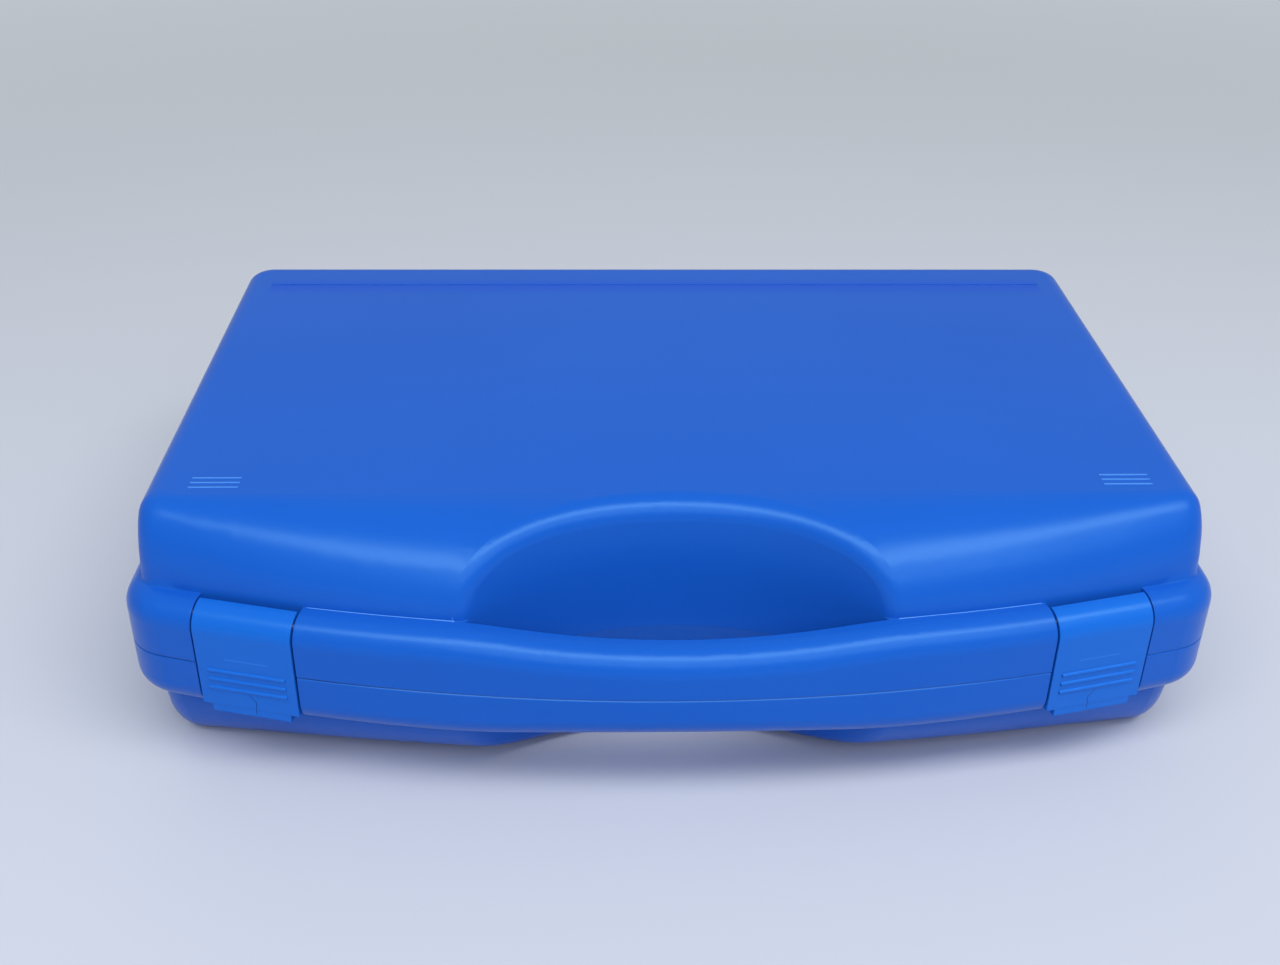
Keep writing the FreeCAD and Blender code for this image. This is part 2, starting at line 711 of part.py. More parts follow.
def latch(name, side):
    body = doc.addObject("PartDesign::Body", name)
    body.Label = name

    plate = sketch_on(body, name + "_plate_view")
    plate_outline(plate)
    pad(body, plate, name + "_plate", "sizes.latch_width")

    barrel = sketch_on(body, name + "_barrel_view")
    circle(barrel, "latch_pin_depth", "latch_pin_height", "latch_barrel")
    pad(body, barrel, name + "_barrel", "sizes.latch_width")

    nose = sketch_on(body, name + "_nose_view")
    inner = "latch_plate + nose_reach"
    low = "- nose_place - nose_height"
    polygon(nose, [
        ("latch_pin_radius", "- nose_place"),
        (inner, "- nose_place"),
        (inner, "- nose_place - latch_pin_radius"),
        ("latch_plate", low),
        ("latch_pin_radius", low),
    ])
    pad(body, nose, name + "_nose", "sizes.nose_width")

    tongue = sketch_on(body, name + "_tongue_view")
    foot = "- latch_drop - tongue_drop"
    polygon(tongue, [
        ("tongue_setback", "- latch_drop + tongue_drop"),
        ("latch_plate", "- latch_drop + tongue_drop"),
        ("latch_plate", foot),
        ("tongue_setback", foot),
    ])
    pad(body, tongue, name + "_tongue", "sizes.latch_width - 2 * sizes.tongue_inset")

    grip = sketch_on(body, name + "_grip_view")
    circle(grip, "grip_radius - grip_proud", "- grip_first", "grip_radius")
    rib = pad(body, grip, name + "_grip", "sizes.grip_length")
    doc.recompute()

    ribs = body.newObject("PartDesign::LinearPattern", name + "_grips")
    ribs.Originals = [rib]
    ribs.Direction = (grip, ["V_Axis"])
    ribs.Reversed = True
    ribs.setExpression("Length", "(sizes.grip_count - 1) * sizes.grip_pitch")
    ribs.setExpression("Occurrences", "sizes.grip_count")
    body.Tip = ribs
    doc.recompute()

    bore = sketch_on(body, name + "_bore_view")
    circle(bore, "latch_pin_depth", "latch_pin_height", "latch_pin_radius + running_gap")
    hole = body.newObject("PartDesign::Pocket", name + "_bore")
    hole.Profile = bore
    hole.Midplane = True
    hole.setExpression("Length", "sizes.latch_width + sizes.overrun")
    body.Tip = hole
    frame = latch_frame(side)
    body.Placement = Placement(frame.Base + Vector(0, 0, height), frame.Rotation)
    doc.recompute()
    return body


# Pins
def latch_pin(name, side):
    pin = doc.addObject("Part::Cylinder", name)
    pin.Label = name
    pin.setExpression("Radius", "sizes.latch_pin_radius")
    pin.setExpression("Height", "sizes.latch_width + 2 * (sizes.latch_gap + sizes.pin_seat - sizes.running_gap)")
    length = size("latch_width") + 2 * (size("latch_gap") + size("pin_seat") - size("running_gap"))
    start = Vector(-length / 2, size("latch_pin_depth"), size("latch_pin_height") + height)
    along = Placement(start, Rotation(Vector(0, 1, 0), 90))
    pin.Placement = latch_frame(side).multiply(along)
    return pin


def hinge_pin(name, side):
    pin = doc.addObject("Part::Cylinder", name)
    pin.Label = name
    pin.setExpression("Radius", "sizes.hinge_pin_radius")
    pin.setExpression(
        "Height", "sizes.knuckle_count * (sizes.knuckle_length + sizes.knuckle_gap) - sizes.knuckle_gap")
    pin.Placement = Placement(Vector(hinge_start(side), axis_y, height), Rotation(Vector(0, 1, 0), 90))
    return pin


# Foam
def foam(name, thickness, low):
    """A plain sheet of foam with rounded corners."""
    block_of_foam = doc.addObject("Part::Box", name + "_sheet")
    block_of_foam.setExpression("Length", "sizes.body_width - 2 * (sizes.wall + sizes.foam_inset)")
    block_of_foam.setExpression(
        "Width", "sizes.body_depth - sizes.shoulder_run - sizes.wall - sizes.foam_inset - sizes.foam_front")
    block_of_foam.setExpression("Height", "sizes." + thickness)
    block_of_foam.setExpression("Placement.Base.x", "sizes.wall + sizes.foam_inset - sizes.body_width / 2")
    block_of_foam.Placement.Base = Vector(0, top_y + size("foam_front"), low)
    doc.recompute()
    corners = [
        (number, size("foam_corner"), size("foam_corner"))
        for number, edge in enumerate(block_of_foam.Shape.Edges, start=1)
        if edge.BoundBox.ZLength > size(thickness) / 2
    ]
    sheet_of_foam = doc.addObject("Part::Fillet", name)
    sheet_of_foam.Base = block_of_foam
    sheet_of_foam.Edges = corners
    sheet_of_foam.Label = name
    return sheet_of_foam


# The pieces
up = Placement(Vector(0, 0, height), Rotation())
lid = keep("lid_shell", lid_shell())
lid.Placement = up
base = keep("base_shell", base_shell().mirror(Vector(0, 0, 0), Vector(0, 0, 1)))
base.Placement = up
pieces = [
    base,
    lid,
    latch("latch_left", -1),
    latch("latch_right", 1),
    latch_pin("latch_pin_left", -1),
    latch_pin("latch_pin_right", 1),
    hinge_pin("hinge_pin_left", -1),
    hinge_pin("hinge_pin_right", 1),
    foam("base_foam", "base_foam_height", wall + size("foam_gap")),
    foam("lid_foam", "lid_foam_height", 2 * height - wall - size("foam_gap") - size("lid_foam_height")),
]
doc.recompute()

for thing in doc.Objects:
    for state in ("Invalid", "Error"):
        if state in thing.State:
            raise RuntimeError(thing.Name + " is " + state)
for piece in pieces:
    if piece.Shape.isNull() or not piece.Shape.isValid():
        raise RuntimeError(piece.Label + " has no valid shape")
    solids = len(piece.Shape.Solids)
    box = piece.Shape.BoundBox
    print(f"{piece.Label}: {solids} solid, {piece.Shape.Volume:.0f} mm3, {len(piece.Shape.Faces)} faces, "
          f"x {box.XMin:.1f} to {box.XMax:.1f}, y {box.YMin:.1f} to {box.YMax:.1f}, "
          f"z {box.ZMin:.1f} to {box.ZMax:.1f}")

os.makedirs("parts", exist_ok=True)
for piece in pieces:
    piece.Shape.exportStep("parts/" + piece.Label + ".step")
print(f"hinge axis y {axis_y:.3f}, z {height:.1f}")
for side in (-1, 1):
    frame = latch_frame(side)
    pivot = frame.multVec(Vector(0, size("latch_pin_depth"), size("latch_pin_height") + height))
    axis = frame.Rotation.multVec(Vector(1, 0, 0))
    print("latch axis", side, [round(v, 4) for v in pivot], [round(v, 6) for v in axis])
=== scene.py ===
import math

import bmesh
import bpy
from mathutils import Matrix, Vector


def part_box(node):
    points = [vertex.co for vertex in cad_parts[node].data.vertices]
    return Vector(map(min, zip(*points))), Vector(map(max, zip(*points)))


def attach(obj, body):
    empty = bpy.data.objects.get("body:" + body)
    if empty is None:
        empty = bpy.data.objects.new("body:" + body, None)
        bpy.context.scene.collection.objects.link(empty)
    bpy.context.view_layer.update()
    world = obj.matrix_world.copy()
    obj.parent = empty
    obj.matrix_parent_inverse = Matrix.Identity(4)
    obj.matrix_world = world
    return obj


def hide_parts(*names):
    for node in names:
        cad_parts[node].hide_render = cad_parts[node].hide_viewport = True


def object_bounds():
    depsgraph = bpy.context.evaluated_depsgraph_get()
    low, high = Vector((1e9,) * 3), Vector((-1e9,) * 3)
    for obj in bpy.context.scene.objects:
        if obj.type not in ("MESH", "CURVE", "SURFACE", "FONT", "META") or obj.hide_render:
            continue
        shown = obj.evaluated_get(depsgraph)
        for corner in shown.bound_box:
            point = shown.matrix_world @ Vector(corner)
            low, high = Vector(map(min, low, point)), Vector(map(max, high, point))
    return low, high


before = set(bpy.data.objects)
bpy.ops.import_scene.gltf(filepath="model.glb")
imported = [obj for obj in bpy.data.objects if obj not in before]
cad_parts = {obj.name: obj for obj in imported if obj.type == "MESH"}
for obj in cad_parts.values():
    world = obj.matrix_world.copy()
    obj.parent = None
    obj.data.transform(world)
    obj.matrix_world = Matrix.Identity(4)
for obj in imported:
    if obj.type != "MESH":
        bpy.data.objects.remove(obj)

# %% [markdown]
# # A hard tool case of blue plastic
#
# The case is two moulded shells, hinged at the rear, with a carrying handle that is
# half lid and half base, and two snap latches beside it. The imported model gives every
# piece its place, so this file only has to give the pieces their looks. Everything is
# in metres. The handle faces -Y, and up is +Z.

MM = 0.001
case_box = [list(corner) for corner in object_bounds()]
case_low, case_high = (Vector(corner) for corner in case_box)
print("case, mm:", [round(v / MM, 1) for v in case_high - case_low])

# %% [markdown]
# ## The camera
#
# A photograph fixes its camera through straight edges of a known size. The case's rear
# edge, its two sides and the width of the handle band together give the lens, the place
# and a small roll to one side. Written out as three directions, the camera needs no
# target object.

# %% Camera
CAMERA_PLACE = Vector((-24.1, -483.15, 342.1)) * MM
CAMERA_PITCH = math.radians(31.11)
CAMERA_YAW = math.radians(1.81)
CAMERA_ROLL = math.radians(0.72)
LENS_MM = 42.11
SENSOR_MM = 36.0
NEAREST, FARTHEST = 0.01, 20.0


def camera_directions(pitch, yaw, roll):
    """The camera's right, up and forward directions."""
    ahead = Vector((
        math.sin(yaw) * math.cos(pitch), math.cos(yaw) * math.cos(pitch), -math.sin(pitch)))
    right = Vector((math.cos(yaw), -math.sin(yaw), 0.0))
    up = right.cross(ahead)
    rolled_right = right * math.cos(roll) + up * math.sin(roll)
    rolled_up = up * math.cos(roll) - right * math.sin(roll)
    return rolled_right, rolled_up, ahead


def make_camera():
    data = bpy.data.cameras.new("camera")
    data.sensor_fit = "HORIZONTAL"
    data.sensor_width = SENSOR_MM
    data.lens = LENS_MM
    data.clip_start = NEAREST
    data.clip_end = FARTHEST
    camera = bpy.data.objects.new("camera", data)
    right, up, ahead = camera_directions(CAMERA_PITCH, CAMERA_YAW, CAMERA_ROLL)
    turn = Matrix((right, up, -ahead)).transposed().to_4x4()
    camera.matrix_world = Matrix.Translation(CAMERA_PLACE) @ turn
    bpy.context.scene.collection.objects.link(camera)
    bpy.context.scene.camera = camera
    return camera


camera = make_camera()
print("camera at, mm:", [round(v / MM, 1) for v in camera.location])

# %% [markdown]
# ## Nodes in a few words
#
# Every material here is a small web of nodes. Two helpers keep the web readable: one
# adds a node with its settings, and one makes a shader node group, which is a piece of
# web with named inputs and outputs that several materials can share.

# %% Helpers for nodes
def add_node(tree, kind, place=(0, 0), **settings):
    node = tree.nodes.new(kind)
    node.location = place
    for name, value in settings.items():
        setattr(node, name, value)
    return node


def new_group(name, inputs, outputs):
    """A shader node group. Inputs are (name, default) pairs, outputs are names."""
    group = bpy.data.node_groups.new(name, "ShaderNodeTree")
    for label, default in inputs:
        socket = group.interface.new_socket(
            name=label, in_out="INPUT", socket_type="NodeSocketFloat")
        socket.default_value = default
    for label in outputs:
        group.interface.new_socket(name=label, in_out="OUTPUT", socket_type="NodeSocketFloat")
    inlet = add_node(group, "NodeGroupInput", (-900, 0))
    outlet = add_node(group, "NodeGroupOutput", (700, 0))
    return group, inlet, outlet


def new_material(name, colour, roughness):
    """A material with one Principled shader, and its node tree."""
    material = bpy.data.materials.new(name)
    material.use_nodes = True
    tree = material.node_tree
    shader = tree.nodes["Principled BSDF"]
    shader.inputs["Base Color"].default_value = (*colour, 1.0)
    shader.inputs["Roughness"].default_value = roughness
    return material, tree, shader


def from_srgb(red, green, blue):
    """A colour as a screen shows it, 0 to 255, as the linear numbers that shaders use."""
    def linear(value):
        if value > 10:
            return ((value / 255 + 0.055) / 1.055) ** 2.4
        return value / 255 / 12.92

    return tuple(linear(value) for value in (red, green, blue))


# %% [markdown]
# ## Moulded grain
#
# A polypropylene shell comes out of an etched steel mould, so its skin has a very fine,
# even grain that breaks reflections into a satin sheen. Large areas also vary a little,
# because the plastic cools unevenly. One group gives both: a height for the bump and the
# roughness, and a slow patchy mask that shifts the colour by a few percent.

# %% Grain group
GRAIN_PER_METRE = 1500.0
PATCHES_PER_METRE = 9.0


def make_grain_group():
    group, inlet, outlet = new_group(
        "moulded_grain",
        [("Grain per metre", GRAIN_PER_METRE), ("Patches per metre", PATCHES_PER_METRE)],
        ["Height", "Patches"])
    place = add_node(group, "ShaderNodeTexCoord", (-900, 250))
    grain = add_node(group, "ShaderNodeTexNoise", (-500, 250))
    grain.inputs["Detail"].default_value = 3.0
    grain.inputs["Roughness"].default_value = 0.6
    patches = add_node(group, "ShaderNodeTexNoise", (-500, -150))
    patches.inputs["Detail"].default_value = 2.0
    group.links.new(place.outputs["Object"], grain.inputs["Vector"])
    group.links.new(place.outputs["Object"], patches.inputs["Vector"])
    group.links.new(inlet.outputs["Grain per metre"], grain.inputs["Scale"])
    group.links.new(inlet.outputs["Patches per metre"], patches.inputs["Scale"])
    group.links.new(grain.outputs["Fac"], outlet.inputs["Height"])
    group.links.new(patches.outputs["Fac"], outlet.inputs["Patches"])
    return group


grain_group = make_grain_group()
print("grain group:", [item.name for item in grain_group.interface.items_tree])


# %% [markdown]
# ## Satin plastic
#
# One function makes every blue plastic. The patches mix two near colours, and the grain
# drives both the bump and a small spread of roughness. A mould leaves no knife edges, so
# the Bevel node rounds each sharp edge in the shading by a few tenths of a millimetre:
# that gives the thin line of light along slots and parting lines.

# %% Plastic that uses the grain
EDGE_RADIUS = 0.35 * MM
EDGE_SAMPLES = 4
GRAIN_BUMP = 0.2
GRAIN_DEPTH = 0.1 * MM
PLASTIC_SHINE = 0.34
SHEEN_TINT = (0.35, 0.8, 1.0)


def plastic(name, dark, light, roughness):
    """Satin plastic: patches mix two near colours, grain gives the bump."""
    material, tree, shader = new_material(name, dark, roughness[0])
    grain = add_node(tree, "ShaderNodeGroup", (-900, 0), node_tree=grain_group)
    colours = add_node(tree, "ShaderNodeMix", (-550, 250), data_type="RGBA")
    colours.inputs["A"].default_value = (*dark, 1.0)
    colours.inputs["B"].default_value = (*light, 1.0)
    tree.links.new(grain.outputs["Patches"], colours.inputs["Factor"])
    tree.links.new(colours.outputs["Result"], shader.inputs["Base Color"])
    sheen = add_node(tree, "ShaderNodeMapRange", (-550, -50))
    sheen.inputs["To Min"].default_value, sheen.inputs["To Max"].default_value = roughness
    tree.links.new(grain.outputs["Height"], sheen.inputs["Value"])
    tree.links.new(sheen.outputs["Result"], shader.inputs["Roughness"])
    edges = add_node(tree, "ShaderNodeBevel", (-800, -450), samples=EDGE_SAMPLES)
    edges.inputs["Radius"].default_value = EDGE_RADIUS
    relief = add_node(tree, "ShaderNodeBump", (-550, -350))
    relief.inputs["Strength"].default_value = GRAIN_BUMP
    relief.inputs["Distance"].default_value = GRAIN_DEPTH
    tree.links.new(grain.outputs["Height"], relief.inputs["Height"])
    tree.links.new(edges.outputs["Normal"], relief.inputs["Normal"])
    tree.links.new(relief.outputs["Normal"], shader.inputs["Normal"])
    shader.inputs["Specular IOR Level"].default_value = PLASTIC_SHINE
    shader.inputs["Specular Tint"].default_value = (*SHEEN_TINT, 1.0)
    return material, tree, shader


def overlay(tree, shader, mask, colour, strength):
    """Lays a colour over the shader's present one, where the mask is 1."""
    amount = add_node(tree, "ShaderNodeMath", (-300, 500), operation="MULTIPLY")
    amount.inputs[1].default_value = strength
    mix = add_node(tree, "ShaderNodeMix", (-150, 300), data_type="RGBA")
    mix.inputs["B"].default_value = (*colour, 1.0)
    tree.links.new(mask, amount.inputs[0])
    tree.links.new(amount.outputs["Value"], mix.inputs["Factor"])
    tree.links.new(shader.inputs["Base Color"].links[0].from_socket, mix.inputs["A"])
    tree.links.new(mix.outputs["Result"], shader.inputs["Base Color"])


# %% [markdown]
# ## Masks by place
#
# Small marks on the shells are told by where they are. A ramp is a soft mask along one
# direction, a range is a hard one, and a product of both marks off a spot.

# %% Masks
EVERYWHERE = 1.0


def ramp_mask(tree, value, first, last):
    """0 up to the first value and 1 from the last one on, smooth between them."""
    ramp = add_node(tree, "ShaderNodeMapRange", (-700, 600), interpolation_type="SMOOTHSTEP")
    ramp.inputs["From Min"].default_value = first
    ramp.inputs["From Max"].default_value = last
    tree.links.new(value, ramp.inputs["Value"])
    return ramp.outputs["Result"]


def between(tree, value, low, high):
    """1 between two values and 0 outside them."""
    above = add_node(tree, "ShaderNodeMath", (-700, 800), operation="GREATER_THAN")
    below = add_node(tree, "ShaderNodeMath", (-700, 950), operation="LESS_THAN")
    both = add_node(tree, "ShaderNodeMath", (-500, 850), operation="MULTIPLY")
    above.inputs[1].default_value = low
    below.inputs[1].default_value = high
    tree.links.new(value, above.inputs[0])
    tree.links.new(value, below.inputs[0])
    tree.links.new(above.outputs["Value"], both.inputs[0])
    tree.links.new(below.outputs["Value"], both.inputs[1])
    return both.outputs["Value"]


def all_of(tree, masks):
    """The product of several masks."""
    result = masks[0]
    for mask in masks[1:]:
        node = add_node(tree, "ShaderNodeMath", (-400, 900), operation="MULTIPLY")
        tree.links.new(result, node.inputs[0])
        tree.links.new(mask, node.inputs[1])
        result = node.outputs["Value"]
    return result


# %% [markdown]
# ## Painted highlights and shade on the shells
#
# Some light and shade is painted into the shells' colour, by place. Painted highlights:
# a lighter blue on the crests of the small marks on the lid's top face and on the
# bevelled edge of the base along the handle, and a bright hairline where the lid's front
# wall rises from the band, between the latches and the recess. Painted shade: a soft,
# deeper blue strip along the crease near the lid's rear edge, and a darker parting line
# on the left.
#
# At the two front corners of the lid the Bevel node gets a wider radius, so that the
# highlight on the shoulder fades out softly there.

# %% Places of the marks
MARK_CREST = (92.15 * MM, 92.26 * MM)
BEVEL_EDGE = (45.45 * MM, 45.75 * MM)
BEVEL_FRONT = (-112.0 * MM, -118.0 * MM)
WALL_FOOT = (65.5 * MM, 66.2 * MM)
WALL_REACH = (69.0 * MM, 115.5 * MM)
WALL_FRONT = -85.0 * MM
UPRIGHT = 0.5
CREASE_RISE = (79.0 * MM, 87.2 * MM)
CREASE_FALL = (96.0 * MM, 88.6 * MM)
CREASE_END = 158.5 * MM
LID_TOP = 91.0 * MM
SEAM = (45.72 * MM, 46.28 * MM)
SEAM_LEFT = (-50.0 * MM, -112.0 * MM)
CORNER_SIDE = (156.5 * MM, 161.5 * MM)
CORNER_HEIGHT = (64.0 * MM, 70.0 * MM)
CORNER_FRONT = (-60.0 * MM, -75.0 * MM)
CORNER_RADIUS = 6.5 * MM
CORNER_SAMPLES = 12


def wall_foot_highlight_mask(tree, place, parts, aside):
    """Where a bright hairline is painted as a highlight: the foot of the lid's front wall, beside
    the recess.
    """
    upright = add_node(tree, "ShaderNodeSeparateXYZ", (-900, 800))
    tree.links.new(place.outputs["Normal"], upright.inputs["Vector"])
    return all_of(tree, [
        between(tree, parts.outputs["Z"], *WALL_FOOT),
        between(tree, aside, *WALL_REACH),
        between(tree, parts.outputs["Y"], -EVERYWHERE, WALL_FRONT),
        between(tree, upright.outputs["Z"], -UPRIGHT, UPRIGHT)])


def crease_shade_mask(tree, parts):
    """Painted shade: a soft, deeper blue strip along the crease near the rear edge of the lid's
    top face.
    """
    return all_of(tree, [
        ramp_mask(tree, parts.outputs["Y"], *CREASE_RISE),
        ramp_mask(tree, parts.outputs["Y"], *CREASE_FALL),
        between(tree, parts.outputs["X"], -CREASE_END, CREASE_END),
        between(tree, parts.outputs["Z"], LID_TOP, EVERYWHERE)])


def seam_shade_mask(tree, parts):
    """Painted shade: the parting line made darker on the left."""
    return all_of(tree, [
        between(tree, parts.outputs["Z"], *SEAM),
        ramp_mask(tree, parts.outputs["X"], *SEAM_LEFT)])


def soften_corners(tree, parts, aside):
    """Rounds the shading more widely where the lid's shoulder meets its sides."""
    corner = all_of(tree, [
        ramp_mask(tree, aside, *CORNER_SIDE),
        ramp_mask(tree, parts.outputs["Z"], *CORNER_HEIGHT),
        ramp_mask(tree, parts.outputs["Y"], *CORNER_FRONT)])
    radius = add_node(tree, "ShaderNodeMapRange", (-950, -450))
    radius.inputs["To Min"].default_value = EDGE_RADIUS
    radius.inputs["To Max"].default_value = CORNER_RADIUS
    tree.links.new(corner, radius.inputs["Value"])
    tree.links.new(radius.outputs["Result"], tree.nodes["Bevel"].inputs["Radius"])
    tree.nodes["Bevel"].samples = CORNER_SAMPLES


# %% [markdown]
# Both shells share one plastic and its painted shade along the parting line. The lid has
# further painted marks, and the base has its painted highlight on the bevelled edge only
# at the front. The look of a mark is a colour and how much of it covers the plastic.

# %% Shell plastic
SHELL_BLUES = from_srgb(17, 81, 183), from_srgb(21, 88, 191)
SHELL_ROUGHNESS = (0.265, 0.295)
# Painted shade: a darker parting line on the left, on both shells.
SEAM_SHADE_LOOK = from_srgb(0, 45, 140), 0.9
# Painted highlight: a bright hairline at the foot of the lid's front wall.
WALL_FOOT_HIGHLIGHT_LOOK = from_srgb(120, 180, 255), 0.7
# Painted shade: a soft, deeper blue strip along the lid's rear crease.
CREASE_SHADE_LOOK = from_srgb(0, 72, 192), 0.75
# Painted highlights: lighter blue on the lid's mark crests and on the base's front bevel.
LID_CREST_HIGHLIGHT_LOOK = from_srgb(110, 175, 250), 0.4
BASE_EDGE_HIGHLIGHT_LOOK = from_srgb(110, 175, 250), 0.35


def make_shell_plastic(name, highlight_from, highlight_front, highlight_look):
    """The shells' plastic, with painted highlights and shade; the highlight's front limit is None
    on the lid, which gets the lid's own painted marks.
    """
    material, tree, shader = plastic(name, *SHELL_BLUES, SHELL_ROUGHNESS)
    place = add_node(tree, "ShaderNodeTexCoord", (-1100, 600))
    parts = add_node(tree, "ShaderNodeSeparateXYZ", (-900, 600))
    tree.links.new(place.outputs["Object"], parts.inputs["Vector"])
    # Painted shade along the parting line on the left.
    overlay(tree, shader, seam_shade_mask(tree, parts), *SEAM_SHADE_LOOK)
    # Painted highlight: lighter blue on the lid's mark crests, or on the base's bevelled edge at
    # the front.
    painted_highlight = ramp_mask(tree, parts.outputs["Z"], *highlight_from)
    if highlight_front:
        painted_highlight = all_of(tree, [painted_highlight, ramp_mask(tree, parts.outputs["Y"], *highlight_front)])
    else:
        size = add_node(tree, "ShaderNodeMath", (-900, 950), operation="ABSOLUTE")
        tree.links.new(parts.outputs["X"], size.inputs[0])
        aside = size.outputs["Value"]
        # Painted highlight: a bright hairline at the foot of the front wall.
        overlay(tree, shader, wall_foot_highlight_mask(tree, place, parts, aside), *WALL_FOOT_HIGHLIGHT_LOOK)
        soften_corners(tree, parts, aside)
        # Painted shade along the crease near the lid's rear edge.
        overlay(tree, shader, crease_shade_mask(tree, parts), *CREASE_SHADE_LOOK)
    overlay(tree, shader, painted_highlight, *highlight_look)
    return material


lid_plastic = make_shell_plastic("blue_polypropylene_lid", MARK_CREST, None, LID_CREST_HIGHLIGHT_LOOK)
base_plastic = make_shell_plastic(
    "blue_polypropylene_base", BEVEL_EDGE, BEVEL_FRONT, BASE_EDGE_HIGHLIGHT_LOOK)
print("plastics:", lid_plastic.name, base_plastic.name)

# %% [markdown]
# ## Marks of the mould on the latches
#
# Each latch has a fine slit below its grip ribs: it starts slanted and then runs
# straight down to the edge. Its darkness is painted shade, a dark hairline in the
# plastic's colour. Higher up, a faint sunk line shows where the hook is joined on at the
# back. Both are too fine for geometry. A group measures the distance to each line in the
# latch's own plane, which is the same for both latches once X has lost its sign, and
# puts out a mask for each.

# %% Latch marks
LATCH_X = 136.0 * MM
LATCH_Y = -106.566 * MM
LATCH_ALONG = (0.96999, 0.24313)
PARTING_Z = 46.0 * MM
HAIRLINE_MM = ((0.1, -10.0), (-2.2, -12.7), (-1.6, -17.5))
HAIRLINE_HALF_MM = 0.13
SINK_MM = ((-8.0, 3.1), (6.8, 3.1))
SINK_HALF_MM = 0.2


def line_mask(group, across, along, start, end, half_width):
    """1 on a straight line in the latch's plane and 0 beside it; its measures are in mm."""
    run = Vector(end) - Vector(start)
    length = run.length
    run.normalize()

    def math_node(kind, first, second):
        node = add_node(group, "ShaderNodeMath", operation=kind)
        for socket, value in zip(node.inputs, (first, second)):
            if isinstance(value, float):
                socket.default_value = value
            else:
                group.links.new(value, socket)
        return node.outputs["Value"]

    right = math_node("SUBTRACT", across, start[0] * MM)
    up = math_node("SUBTRACT", along, start[1] * MM)
    beside = math_node(
        "SUBTRACT", math_node("MULTIPLY", right, run.y), math_node("MULTIPLY", up, run.x))
    ahead = math_node(
        "ADD", math_node("MULTIPLY", right, run.x), math_node("MULTIPLY", up, run.y))
    past = math_node("ABSOLUTE", math_node("SUBTRACT", ahead, length * MM / 2), 0.0)
    near = math_node("LESS_THAN", math_node("ABSOLUTE", beside, 0.0), half_width * MM)
    return math_node("MULTIPLY", near, math_node("LESS_THAN", past, length * MM / 2))


def make_marks_group():
    group, _, outlet = new_group("mould_marks", [], ["Hairline", "Sink"])
    place = add_node(group, "ShaderNodeTexCoord")
    parts = add_node(group, "ShaderNodeSeparateXYZ")
    group.links.new(place.outputs["Object"], parts.inputs["Vector"])
    sign_off = add_node(group, "ShaderNodeMath", operation="ABSOLUTE")
    group.links.new(parts.outputs["X"], sign_off.inputs[0])
    flat = add_node(group, "ShaderNodeCombineXYZ")
    group.links.new(sign_off.outputs["Value"], flat.inputs["X"])
    group.links.new(parts.outputs["Y"], flat.inputs["Y"])
    shifted = add_node(group, "ShaderNodeVectorMath", operation="SUBTRACT")
    shifted.inputs[1].default_value = (LATCH_X, LATCH_Y, 0.0)
    group.links.new(flat.outputs["Vector"], shifted.inputs[0])
    across = add_node(group, "ShaderNodeVectorMath", operation="DOT_PRODUCT")
    across.inputs[1].default_value = (*LATCH_ALONG, 0.0)
    group.links.new(shifted.outputs["Vector"], across.inputs[0])
    above = add_node(group, "ShaderNodeMath", operation="SUBTRACT")
    above.inputs[1].default_value = PARTING_Z
    group.links.new(parts.outputs["Z"], above.inputs[0])

    place_across, place_above = across.outputs["Value"], above.outputs["Value"]
    top, bend, foot = HAIRLINE_MM
    slanted = line_mask(group, place_across, place_above, top, bend, HAIRLINE_HALF_MM)
    upright = line_mask(group, place_across, place_above, bend, foot, HAIRLINE_HALF_MM)
    either = add_node(group, "ShaderNodeMath", operation="MAXIMUM")
    group.links.new(slanted, either.inputs[0])
    group.links.new(upright, either.inputs[1])
    group.links.new(either.outputs["Value"], outlet.inputs["Hairline"])
    sink = line_mask(group, place_across, place_above, *SINK_MM, SINK_HALF_MM)
    group.links.new(sink, outlet.inputs["Sink"])
    return group


marks_group = make_marks_group()
print("marks group:", [item.name for item in marks_group.interface.items_tree])

# %% [markdown]
# The slit's hairline is painted shade, darker than the plastic round it. The sunk line is
# only a little lighter, as it catches light on its lower side.

# %% Latch plastic
LATCH_BLUES = from_srgb(17, 92, 195), from_srgb(21, 99, 203)
LATCH_ROUGHNESS = (0.25, 0.28)
# Painted shade: the dark hairline of the slit on each latch.
SLIT_SHADE_LOOK = from_srgb(0, 40, 120), 0.9
SINK_LOOK = from_srgb(60, 140, 240), 0.3


def make_latch_plastic():
    material, tree, shader = plastic("blue_latch_plastic", *LATCH_BLUES, LATCH_ROUGHNESS)
    marks = add_node(tree, "ShaderNodeGroup", (-900, 500), node_tree=marks_group)
    # Painted shade along the slit.
    overlay(tree, shader, marks.outputs["Hairline"], *SLIT_SHADE_LOOK)
    overlay(tree, shader, marks.outputs["Sink"], *SINK_LOOK)
    return material


latch_plastic = make_latch_plastic()
print("latch plastic nodes:", len(latch_plastic.node_tree.nodes))

# %% [markdown]
# ## Steel pins
#
# The hinge and latch pins are drawn steel wire, cut to length. Drawing leaves fine lines
# along the wire, so the noise is stretched along X, the direction in which the pins lie.

# %% Steel
STEEL_GREY = from_srgb(142, 146, 152)
STEEL_ROUGHNESS = (0.22, 0.45)
DRAWN_LINES = (60.0, 2400.0, 2400.0)
LINE_DEPTH = 0.05 * MM


